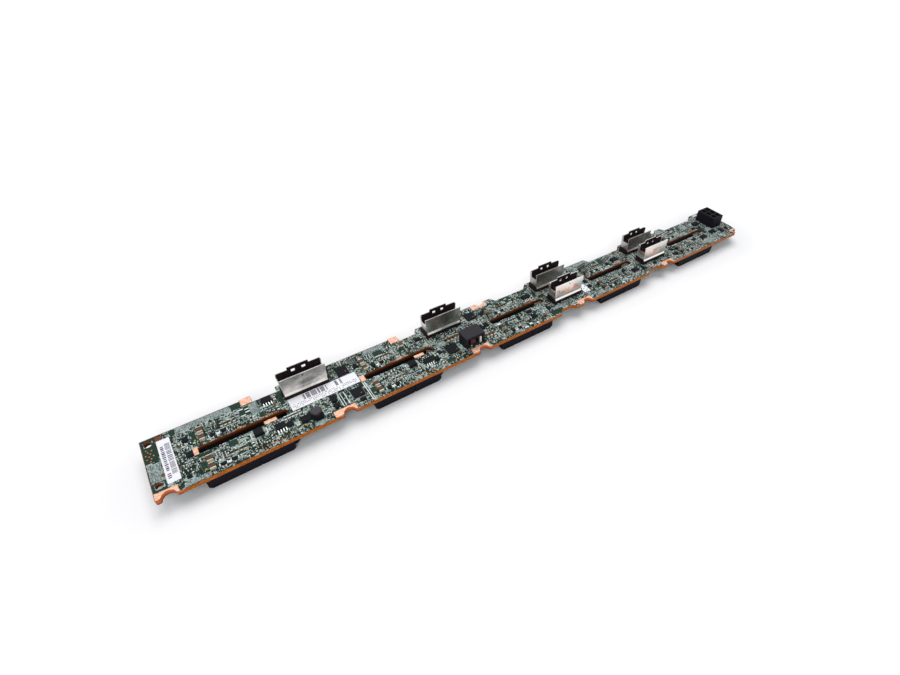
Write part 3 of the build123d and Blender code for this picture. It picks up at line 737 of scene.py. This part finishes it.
labels = {
    "seed": 11,
    "thickness": 0.13,
    "ink": 0.012,
    "bars": [
        # u from and u to of each group
        (71.4, 72.4), (73.0, 75.0), (75.6, 78.4), (79.0, 80.0), (80.5, 82.6), (83.2, 84.0), (88.3, 89.7),
        (90.8, 92.0),
    ],
    "bar": (22.4, 0.36, 3.9),  # v, length and width
    "barPitch": 0.55,
    "endBars": [
        # on the label at the left end: v from, v to, thickness of one bar
        (10.8, 13.6, 0.26), (14.2, 18.4, 0.24), (19.1, 20.4, 0.42), (21.0, 22.6, 0.5), (23.3, 25.4, 0.46),
        (26.2, 29.8, 0.3),
    ],
    "endBar": (10.1, 2.1),  # u and length
    "endBarSpread": (0.8, 1.2),
    "endDashes": (9.2, 30.5, 1.15),  # v from, v to and pitch
    "endDashU": 7.8,
    "endDashLength": (1.1, 1.6),
    "endDashWidth": (0.5, 0.95),
    "endDashShare": 0.85,
    "dashRows": [(17.3, 0.35), (18.4, 0.75), (19.5, 0.75)],  # v, and the share of the dashes that are there
    "dashes": (65.3, 98.6, 0.85),  # u from, u to and pitch
    "dashLength": (0.3, 0.65),
    "dashWidth": 0.42,
    "smallMarks": [(257.2, 8.6, 1.1), (258.9, 9.8, 1.4), (257.4, 11.6, 0.8), (259.2, 13.0, 1.0)],
    "smallMarkWidth": 0.5,
}
inkPlaces = []
for start, end in labels["bars"]:
    stripes = max(round((end - start) / labels["barPitch"]), 1)
    for k in range(stripes):
        inkPlaces.append((start + (k + 0.5) * (end - start) / stripes, *labels["bar"]))
rng = np.random.default_rng(labels["seed"])
endU, endLength = labels["endBar"]
for start, end, thick in labels["endBars"]:
    for v in np.arange(start, end, 2 * thick):
        inkPlaces.append((endU, v, endLength, thick * rng.uniform(*labels["endBarSpread"])))
for v in np.arange(*labels["endDashes"]):
    if rng.random() < labels["endDashShare"]:
        size = (rng.uniform(*labels["endDashLength"]), rng.uniform(*labels["endDashWidth"]))
        inkPlaces.append((labels["endDashU"], v, *size))
for v, share in labels["dashRows"]:
    for u in np.arange(*labels["dashes"]):
        if rng.random() < share:
            inkPlaces.append((u, v, rng.uniform(*labels["dashLength"]), labels["dashWidth"]))
inkPlaces += [(*mark, labels["smallMarkWidth"]) for mark in labels["smallMarks"]]
inkRows = [block(*place, labels["ink"], labels["thickness"]) for place in inkPlaces]
standingBlocks("label_print", inkRows, inkPrint)
print("labels printed")

# Plain areas of the board's face, as u from, u to, v from, v to

plainAreas = {
    "thickness": 0.012,
    "stripWidth": 1.0,
    "dark": [
        (0.3, 6.0, 4.5, 9.8), (0.3, 5.9, 22.0, 36.9), (12.2, 14.5, 33.4, 36.9), (39.5, 44.0, 33.0, 36.9),
        (42.2, 47.0, 26.2, 32.6), (20.2, 26.0, 13.0, 15.1), (9.9, 11.6, 0.6, 2.2), (50.0, 52.3, 21.0, 24.4),
        (33.0, 37.0, 11.2, 15.0), (20.0, 22.0, 24.5, 29.5), (20.0, 22.4, 4.8, 9.8), (61.0, 62.8, 24.0, 33.2),
        (204.5, 210.0, 28.0, 33.0), (222.3, 232.0, 1.2, 5.0), (173.5, 175.6, 1.0, 4.0),
        (101.9, 104.4, 3.0, 9.0), (114.0, 119.5, 29.5, 33.0), (146.0, 150.0, 2.0, 5.0),
        (287.0, 291.5, 27.0, 32.5), (369.0, 373.5, 27.0, 32.5), (389.0, 392.5, 13.0, 22.5),
        (270.0, 274.0, 28.5, 32.0), (373.5, 376.0, 26.5, 31.0), (283.0, 287.0, 29.5, 32.5),
    ],
    "pale": [
        (0.5, 6.0, 10.0, 21.0), (14.8, 39.3, 33.6, 36.9), (47.2, 51.2, 25.0, 33.0), (13.0, 22.8, 0.5, 3.0),
        (70.0, 76.0, 0.6, 3.0), (110.0, 121.0, 34.0, 36.9), (193.0, 196.0, 0.9, 4.4),
        (147.5, 153.0, 15.7, 19.4), (268.0, 278.0, 34.2, 36.9), (352.0, 359.0, 0.8, 3.0),
        (262.0, 270.0, 0.7, 2.8), (340.0, 345.0, 12.5, 14.8), (376.5, 388.0, 3.0, 8.0),
        (366.5, 376.5, 20.6, 23.4), (378.0, 384.0, 25.5, 31.5), (395.0, 401.0, 15.0, 18.5),
        (226.0, 236.0, 4.6, 7.4), (401.5, 409.0, 34.0, 36.9), (262.0, 268.0, 33.6, 36.9),
        (356.0, 362.5, 20.8, 23.6),
    ],
}


def freeStrips(u0, u1, v0, v1):
    # Cuts an area into strips along v, and keeps the runs of at least three bare grid lines in each
    strips = []
    for left in np.arange(u0, u1 - 0.01, plainAreas["stripWidth"]):
        right = min(left + plainAreas["stripWidth"], u1)
        column = slice(round(left / step), round(right / step) + 1)
        span = range(round(v0 / step), min(round(v1 / step) + 1, free.shape[1]))
        lines = [j for j in span if free[column, j].all()]
        breaks = [0] + [k for k in range(1, len(lines)) if lines[k] - lines[k - 1] > 1] + [len(lines)]
        for a, b in zip(breaks, breaks[1:]):
            if b - a > 2:
                run = (lines[a] * step, lines[b - 1] * step)
                strips.append(blockFrom(left, right, *run, plainAreas["thickness"]))
    return strips


for material, key in ((maskOnly, "dark"), (maskPour, "pale")):
    rows = []
    for area in plainAreas[key]:
        strips = freeStrips(*area)
        takeUpRows(strips)
        rows += strips
    standingBlocks("mask_" + key, rows, material)
print("plain areas laid")


# Ends, leads and pads of the parts that the frame already has

capacitors = {
    "u": 24.1,
    "fromRow": (-0.6, 4.3),
    "reach": 1.79,
    "length": 2.62,
    "height": 1.56,
    "ends": (0.52, 0.36),  # wide in the first two columns, narrow in the others
}
resistors = {"u": 36.05, "fromRow": 2.2, "count": 4, "pitch": 1.9, "reach": 0.98, "end": (1.26, 0.5, 0.66)}
signalDiodes = {
    "u": 30.9,
    "fromRow": -1.8,
    "apart": 2.4,
    "reach": 1.42,
    "end": (0.95, 1.7, 0.6),
    "spot": (1.1, 1.3, 0.08),
}
transistors = {
    "places": [
        (55.5, 30.2), (56.0, 9.7), (137.2, 9.3), (217.8, 25.1), (299.0, 25.0), (303.0, 7.2), (382.5, 9.3),
    ],
    "leads": 4,
    "pitch": 1.27,
    "reach": 3.1,
    "pad": (0.55, 1.1, 0.16),
}
squareChips = {
    "places": [(94.75, 28.5, 6.3), (95.4, 9.6, 6.3), (177.2, 28.8, 6.3), (153.3, 10.4, 7.0)],  # u, v and side
    "pads": 10,
    "standOut": 0.15,
    "pad": (0.26, 0.5),
    "height": 0.12,
}
powerDiodes = {"u": (46.4, 128.4), "v": 11.8, "reach": 3.2, "pad": (1.5, 3.7, 0.22)}

creamRows, paleRows, padRows = [], [], []
sides = (-1, 1)
for column in range(board["columns"]):
    start = column * board["columnPitch"]
    end = capacitors["ends"][0 if column < 2 else 1]
    size = (capacitors["length"], end, capacitors["height"])
    for row in board["rows"]:
        for shift in capacitors["fromRow"]:
            for side in sides:
                v = row + shift + side * (capacitors["reach"] - end / 2)
                creamRows.append(block(start + capacitors["u"], v, *size))
        for k in range(resistors["count"]):
            u = start + resistors["u"] + (k - (resistors["count"] - 1) / 2) * resistors["pitch"]
            for side in sides:
                v = row + resistors["fromRow"] + side * resistors["reach"]
                creamRows.append(block(u, v, *resistors["end"]))
        u, v = start + signalDiodes["u"], row + signalDiodes["fromRow"]
        for k in sides:
            for side in sides:
                middle = u + k * signalDiodes["apart"] + side * signalDiodes["reach"]
                paleRows.append(block(middle, v, *signalDiodes["end"]))
        paleRows.append(block(u, v, *signalDiodes["spot"]))
for u, v in transistors["places"]:
    for k in range(transistors["leads"]):
        along = (k - (transistors["leads"] - 1) / 2) * transistors["pitch"]
        for side in sides:
            padRows.append(block(u + along, v + side * transistors["reach"], *transistors["pad"]))
for u, v, size in squareChips["places"]:
    across, outwards = squareChips["pad"]
    for k in range(squareChips["pads"]):
        along = (k - (squareChips["pads"] - 1) / 2) * size / (squareChips["pads"] + 1)
        for side in sides:
            out = side * (size / 2 + squareChips["standOut"])
            padRows.append(block(u + along, v + out, across, outwards, squareChips["height"]))
            padRows.append(block(u + out, v + along, outwards, across, squareChips["height"]))
for u in powerDiodes["u"]:
    for side in sides:
        padRows.append(block(u + side * powerDiodes["reach"], powerDiodes["v"], *powerDiodes["pad"]))
standingBlocks("ceramic_ends", creamRows, creamTerminal, "end")
standingBlocks("diode_ends", paleRows, solderPaste, "end")
standingBlocks("soldered_pads", padRows, solderPaste, "pad")
takeUpRows(creamRows + paleRows + padRows)
print("ends and pads laid")


# Bare tinned pads large enough to show as white patches. They may lie on a plain area, so only the frame's
# own parts keep them away

whitePads = {
    "height": 0.08,
    "places": [
        # u, v, length, width
        (360.3, 22.4, 2.0, 2.0), (361.5, 3.4, 2.2, 1.5), (404.6, 35.8, 5.0, 1.6), (188.6, 13.6, 2.2, 1.6),
        (277.6, 22.0, 1.8, 1.8), (278.2, 2.6, 1.5, 2.0), (198.2, 3.4, 2.0, 1.6), (201.6, 2.0, 2.6, 1.0),
        (205.6, 3.2, 2.2, 1.4), (210.0, 1.8, 1.8, 1.2), (286.2, 2.4, 2.6, 1.2), (254.6, 33.6, 2.2, 1.8),
        (371.8, 28.6, 0.5, 2.6), (373.6, 30.4, 0.5, 2.2), (291.0, 22.2, 1.6, 0.9),
    ],
}
clearPlaces = [place for place in whitePads["places"] if openBoard[cellsUnder(*place)].all()]
whiteRows = [block(*place, whitePads["height"]) for place in clearPlaces]
takeUpRows(whiteRows)
standingBlocks("white_pads", whiteRows, solderPaste, "whitePad")

# Chip capacitors by the middle power socket and the fourth drive cell, each a brown body between cream ends

clusters = {
    "length": 1.5,
    "width": 3.3,
    "height": 1.1,
    "room": (0.3, 0.4),  # kept free round each
    "bodyInset": 0.9,  # how much shorter the brown body is
    "end": (1.58, 0.55, 1.14),
    "endInset": 0.25,
    "pitch": 2.4,
    "groups": [
        # u and v of the first one, and how many
        (154.7, 18.2, 4), (176.4, 8.6, 3), (176.4, 12.4, 3), (87.0, 31.0, 1), (84.6, 31.0, 1),
        (169.4, 31.2, 2), (252.5, 31.0, 2), (333.0, 11.0, 3), (343.4, 31.5, 2),
    ],
}
clusterBodies, clusterEnds = [], []
length, width = clusters["length"], clusters["width"]
for firstU, v, count in clusters["groups"]:
    for k in range(count):
        u = round(firstU + k * clusters["pitch"], 2)
        if claim(u, v, length + clusters["room"][0], width + clusters["room"][1]):
            clusterBodies.append(block(u, v, length, width - clusters["bodyInset"], clusters["height"]))
            for side in sides:
                endV = v + side * (width / 2 - clusters["endInset"])
                clusterEnds.append(block(u, endV, *clusters["end"]))
standingBlocks("cluster_capacitors", clusterBodies, capacitorCeramic, "moulded")
standingBlocks("cluster_ends", clusterEnds, creamTerminal, "end")

# Dark moulded parts that the frame has no solids for: the larger ones stand by the end power socket

darkParts = {
    "room": 0.2,  # kept free round each
    "places": [
        # u, v, length, width, height
        (393.6, 26.2, 5.6, 4.0, 1.1), (396.0, 11.4, 5.8, 3.2, 1.1), (389.6, 9.2, 2.6, 2.0, 0.8),
        (404.6, 8.6, 3.4, 4.2, 1.0), (411.0, 8.8, 1.8, 2.2, 0.7), (385.4, 31.4, 2.2, 2.0, 0.8),
        (354.6, 30.6, 3.2, 2.6, 0.9), (345.4, 6.2, 4.0, 2.4, 0.9), (178.2, 16.8, 1.4, 4.4, 0.9),
        (184.6, 27.2, 2.0, 2.6, 0.9), (182.9, 7.6, 1.6, 3.6, 0.8), (262.6, 11.8, 2.6, 2.2, 0.8),
        (295.6, 11.9, 2.2, 2.4, 0.8), (313.4, 27.6, 2.6, 3.0, 0.9), (310.6, 6.4, 2.0, 2.8, 0.8),
        (247.0, 27.0, 2.4, 2.2, 0.8), (22.4, 7.4, 1.2, 3.2, 0.7), (84.0, 31.6, 1.8, 2.4, 0.8),
        (115.0, 27.6, 1.8, 2.2, 0.8), (146.0, 12.0, 2.0, 2.4, 0.8), (202.0, 11.6, 1.8, 1.8, 0.7),
        (233.6, 30.4, 2.0, 2.6, 0.8), (373.6, 11.6, 3.4, 2.2, 0.8), (336.6, 30.2, 2.6, 2.2, 0.8),
        (346.8, 11.2, 2.6, 2.0, 0.8), (386.6, 22.4, 3.6, 1.8, 0.8), (381.8, 13.6, 3.0, 1.2, 0.7),
        (264.0, 24.6, 2.0, 3.0, 0.9), (188.0, 8.2, 1.6, 1.6, 0.8), (322.6, 6.2, 2.2, 2.0, 0.8),
        (291.6, 24.0, 1.8, 1.8, 0.7), (366.4, 31.2, 1.8, 1.6, 0.7),
    ],
}
darkRows = []
for u, v, length, width, height in darkParts["places"]:
    if claim(u, v, length + darkParts["room"], width + darkParts["room"]):
        darkRows.append(block(u, v, length, width, height))
standingBlocks("small_moulded_parts", darkRows, epoxyMoulding, "moulded")
print("white pads, clusters and dark parts laid")

# Marks of pin one on the square chips, and the small holes high in two shells' front walls

pinDots = {
    "places": [(96.2, 27.2), (96.8, 8.2), (178.6, 27.5), (155.4, 8.5)],
    "size": (0.55, 0.55, 0.01, 0.9),  # length, width, height, and how high it lies
}
shellHoles = {"places": [(74.9, 25.49), (241.4, 9.89)], "size": (0.8, 0.04, 0.7, 11.6)}
dotRows = [block(*place, *pinDots["size"]) for place in pinDots["places"]]
standingBlocks("pin_one_dots", dotRows, cutCopper, outline=roundOutline)
holeRows = [block(*place, *shellHoles["size"]) for place in shellHoles["places"]]
standingBlocks("shell_holes", holeRows, mouldedLcp)

# Legend paint: plain lines and dashes, no letters

legend = {
    "thickness": 0.02,
    "lines": [
        # u, v, length, width
        (86.2, 9.8, 0.35, 9.6), (87.5, 9.8, 0.3, 9.6), (89.4, 9.8, 0.35, 9.6), (100.4, 7.8, 0.45, 14.0),
        (101.4, 7.8, 0.3, 14.0), (43.3, 31.5, 2.2, 0.7), (45.9, 30.6, 2.0, 0.6), (46.0, 28.6, 2.2, 0.7),
        (43.5, 27.0, 2.2, 0.6), (206.0, 31.5, 1.8, 0.5), (208.4, 29.5, 1.8, 0.5),
    ],
    "slotLine": (35.5, 24.9, 11.0, 0.22),  # one in each column, beyond the slot
}
firstU, *slotLine = legend["slotLine"]
slotLines = [(firstU + k * board["columnPitch"], *slotLine) for k in range(board["columns"])]
paintRows = [block(*line, legend["thickness"]) for line in legend["lines"] + slotLines]
takeUpRows(paintRows)

# Cut tracks along the slots' far lips and the near edge, gilt test spots, and bare laminate squares

marks = {
    # combs: u from, u to, v
    "farCombs": [
        (38.2, 43.2, 20.5), (50.3, 58.0, 20.6), (120.4, 130.0, 20.5), (214.0, 221.0, 20.5),
        (296.0, 305.0, 20.5), (378.0, 386.0, 20.5),
    ],
    "farPitch": 0.86,
    "farTooth": (0.34, 1.1, 0.03),
    "nearCombs": [
        (44.0, 60.0, 1.5), (126.0, 138.0, 1.4), (208.0, 219.0, 1.4), (290.0, 301.0, 1.4), (372.0, 384.0, 1.4),
    ],
    "nearPitch": 1.15,
    "nearTooth": (0.42, 0.8, 0.03),
    "nearRoom": (0.5, 0.9),
    "nearZigzag": 1.3,  # every other tooth stands this much further in
    "gilt": [
        (21.0, 24.3), (21.4, 5.0), (22.0, 12.5), (59.0, 24.5), (64.3, 4.5), (66.2, 4.7), (67.8, 2.3),
        (77.2, 11.0), (13.0, 24.8), (102.2, 23.7), (103.0, 4.8), (185.0, 24.2), (267.0, 24.2), (349.0, 24.2),
        (185.4, 5.0), (267.4, 5.0), (349.4, 5.0),
    ],
    "giltSize": (1.1, 1.1, 0.06),
    "brown": [
        (7.7, 35.1, 2.9, 2.8), (131.0, 31.0, 2.8, 2.8), (306.5, 32.5, 2.8, 2.8), (5.6, 12.5, 1.5, 1.9),
        (12.3, 12.2, 1.1, 1.6), (14.1, 24.3, 1.0, 1.0),
    ],
    "brownHeight": 0.025,
    "vias": [
        (2.3, 29.0), (3.2, 27.6), (2.4, 26.2), (3.1, 24.6), (2.6, 23.0), (1.2, 27.2), (3.9, 29.4),
        (1.4, 24.8), (1.8, 30.4), (4.2, 26.0),
    ],
    "viaSize": (0.7, 0.7, 0.03, 0.012),  # the last is how high they lie, on a plain area
}
combRows = []
for start, end, v in marks["farCombs"]:
    combRows += [block(u, v, *marks["farTooth"]) for u in np.arange(start, end, marks["farPitch"])]
for start, end, v in marks["nearCombs"]:
    for k, u in enumerate(np.arange(start, end, marks["nearPitch"])):
        row = v + (k % 2) * marks["nearZigzag"]
        if claim(u, row, *marks["nearRoom"]):
            combRows.append(block(u, row, *marks["nearTooth"]))
brownRows = [block(*place, marks["brownHeight"]) for place in marks["brown"]]
giltRows = [block(*place, *marks["giltSize"]) for place in marks["gilt"]]
viaRows = [block(*place, *marks["viaSize"]) for place in marks["vias"]]
takeUpRows(combRows + brownRows + giltRows)
standingBlocks("cut_tracks", combRows, cutCopper)
standingBlocks("bare_squares", brownRows, bareLaminate)
standingBlocks("bare_vias", viaRows, cutCopper, outline=roundOutline)
print("legend, tracks and marks laid")


# The smallest chips: rows of like ones, each with a body between two soldered ends

tiny = {
    "seed": 7,
    "tries": 5200,
    "margin": (0.8, 0.6),  # mm kept free along the near edge and both ends, and along the far edge
    "kinds": [(1.0, 0.5, 0.35), (1.6, 0.8, 0.5), (2.1, 1.25, 0.7)],  # length, width and height
    "cell": 7.0,  # mm: each cell of the board is dark, mixed or bright as a whole
    "bounds": (0.36, 0.68),
    # for dark, mixed and bright cells: how often each size comes, and film, brown and tan
    "shares": [[0.25, 0.50, 0.25], [0.42, 0.46, 0.12], [0.60, 0.36, 0.04]],
    "tones": [[0.84, 0.10, 0.06], [0.50, 0.28, 0.22], [0.34, 0.34, 0.32]],
    "uprightShare": 0.55,
    "gaps": [0.35, 0.5, 0.65],
    "mostInRow": 5,
    "room": (0.4, 0.1),  # kept free past a chip's ends and beside it
    "body": (0.72, 0.94),  # shares of the chip's length and width
    "endShift": 0.42,
    "endShares": (0.22, 0.32, 0.32),  # of the length, in dark, mixed and bright cells
    "endWidth": 1.1,
    "endHeight": 1.04,
    "pieces": [
        ("film_chips", resistorFilm, "dark_ceramic"),
        ("brown_chips", capacitorCeramic, "brown_ceramic"),
        ("tan_chips", tanCeramic, "brown_ceramic"),
    ],
}
rng = np.random.default_rng(tiny["seed"])
cellTones = rng.random([math.ceil(board[size] / tiny["cell"]) + 1 for size in ("length", "width")])


def cellKind(u, v):
    # 0 for a dark cell, 1 for a mixed one and 2 for a bright one
    return int(np.searchsorted(tiny["bounds"], cellTones[int(u / tiny["cell"]), int(v / tiny["cell"])]))


def randomPlace(margin):
    # A random u and v on the board
    near, far = margin
    return rng.uniform(near, board["length"] - near), rng.uniform(near, board["width"] - far)


bodyRows = [[], [], []]
endRows = []
for attempt in range(tiny["tries"]):
    u, v = (round(part / step) * step for part in randomPlace(tiny["margin"]))
    kind = cellKind(u, v)
    length, width, height = tiny["kinds"][rng.choice(3, p=tiny["shares"][kind])]
    tone = rng.choice(3, p=tiny["tones"][kind])
    upright = rng.random() < tiny["uprightShare"]
    turn = 90.0 * upright
    pitch = width + rng.choice(tiny["gaps"])
    body = (length * tiny["body"][0], width * tiny["body"][1], height)
    end = (length * tiny["endShares"][kind], width * tiny["endWidth"], height * tiny["endHeight"])
    room = (length + tiny["room"][0], width + tiny["room"][1])
    for k in range(rng.integers(1, tiny["mostInRow"] + 1)):
        chipU, chipV = (u + k * pitch, v) if upright else (u, v + k * pitch)
        if not claim(chipU, chipV, *(room[::-1] if upright else room)):
            break
        bodyRows[tone].append(block(chipU, chipV, *body, turn=turn))
        for side in sides:
            shift = side * length * tiny["endShift"]
            place = (chipU, chipV + shift) if upright else (chipU + shift, chipV)
            endRows.append(block(*place, *end, turn=turn))
for rows, (name, material, slot) in zip(bodyRows, tiny["pieces"]):
    standingBlocks(name, rows, material, "chip")
standingBlocks("tiny_ends", endRows, solderPaste, "solder")
print("tiny chips:", sum(len(rows) for rows in bodyRows))

# Bare pads, short legend strokes, test spots and dark windows in the mask fill what is left

filling = {
    "seed": 19,
    "tries": 9000,
    "margin": (0.7, 0.5),  # mm kept free along the near edge and both ends, and along the far edge
    "cellFactors": [1.45, 1.0, 0.78],  # in dark, mixed and bright cells: the larger, the more windows
    "below": (0.45, 0.65, 0.80),  # a pad below the first, then a stroke, then a gilt spot, and else a window
    "padLengths": [0.4, 0.6, 0.9],
    "padWidths": [0.4, 0.6],
    "padHeight": 0.05,
    "strokeLength": (0.8, 2.2),
    "strokeWidth": 0.2,
    "giltRoom": (0.5, 0.5),
    "giltSize": (0.45, 0.45, 0.04),
    "windowLength": (0.6, 1.8),
    "windowWidth": (0.5, 1.2),
    "windowHeight": 0.014,
}
rng = np.random.default_rng(filling["seed"])
spotRows, strokeRows, windowRows = [], [], []
for attempt in range(filling["tries"]):
    u, v = randomPlace(filling["margin"])
    choice = np.searchsorted(filling["below"], rng.random() * filling["cellFactors"][cellKind(u, v)], "right")
    if choice == 0:
        length, width = rng.choice(filling["padLengths"]), rng.choice(filling["padWidths"])
        if claim(u, v, length, width):
            turn = 90.0 * (rng.random() < 0.5)
            spotRows.append(block(u, v, length, width, filling["padHeight"], turn=turn))
    elif choice == 1:
        length, width = rng.uniform(*filling["strokeLength"]), filling["strokeWidth"]
        if rng.random() < 0.5:
            length, width = width, length
        if claim(u, v, length, width):
            strokeRows.append(block(u, v, length, width, legend["thickness"]))
    elif choice == 2:
        if claim(u, v, *filling["giltRoom"]):
            giltRows.append(block(u, v, *filling["giltSize"]))
    else:
        length, width = rng.uniform(*filling["windowLength"]), rng.uniform(*filling["windowWidth"])
        if claim(u, v, length, width):
            windowRows.append(block(u, v, length, width, filling["windowHeight"]))
standingBlocks("bare_spots", spotRows, solderPaste, "spot")
standingBlocks("legend_paint", paintRows + strokeRows, legendPaint)
standingBlocks("gilt_spots", giltRows, viaRing, outline=roundOutline)
standingBlocks("mask_windows", windowRows, maskOnly)
print("pads, strokes, spots and windows:", len(spotRows), len(strokeRows), len(giltRows), len(windowRows))


# Middle power socket: a red keying insert high in front of the blades, a bright latch plate on the right, and
# two soldered tabs at its left foot

powerSocket = {
    # u, v, length, width, height, base
    "latch": (169.9, 5.9, 1.2, 0.7, 4.7, 0.8),
    "tabs": [(163.7, 5.9, 0.8, 0.6, 0.7, 0.7), (159.45, 6.2, 0.8, 1.1, 0.6, 0.0)],
    "insert": (164.9, 6.2, 3.2, 0.7, 3.0, 2.1),
}
latchRows = [block(*row) for row in (powerSocket["latch"], *powerSocket["tabs"])]
standingBlocks("power_latch", latchRows, solderPaste, "moulded")
standingBlocks("power_insert", [block(*powerSocket["insert"])], redInsert, "moulded")
print("power socket fitted")
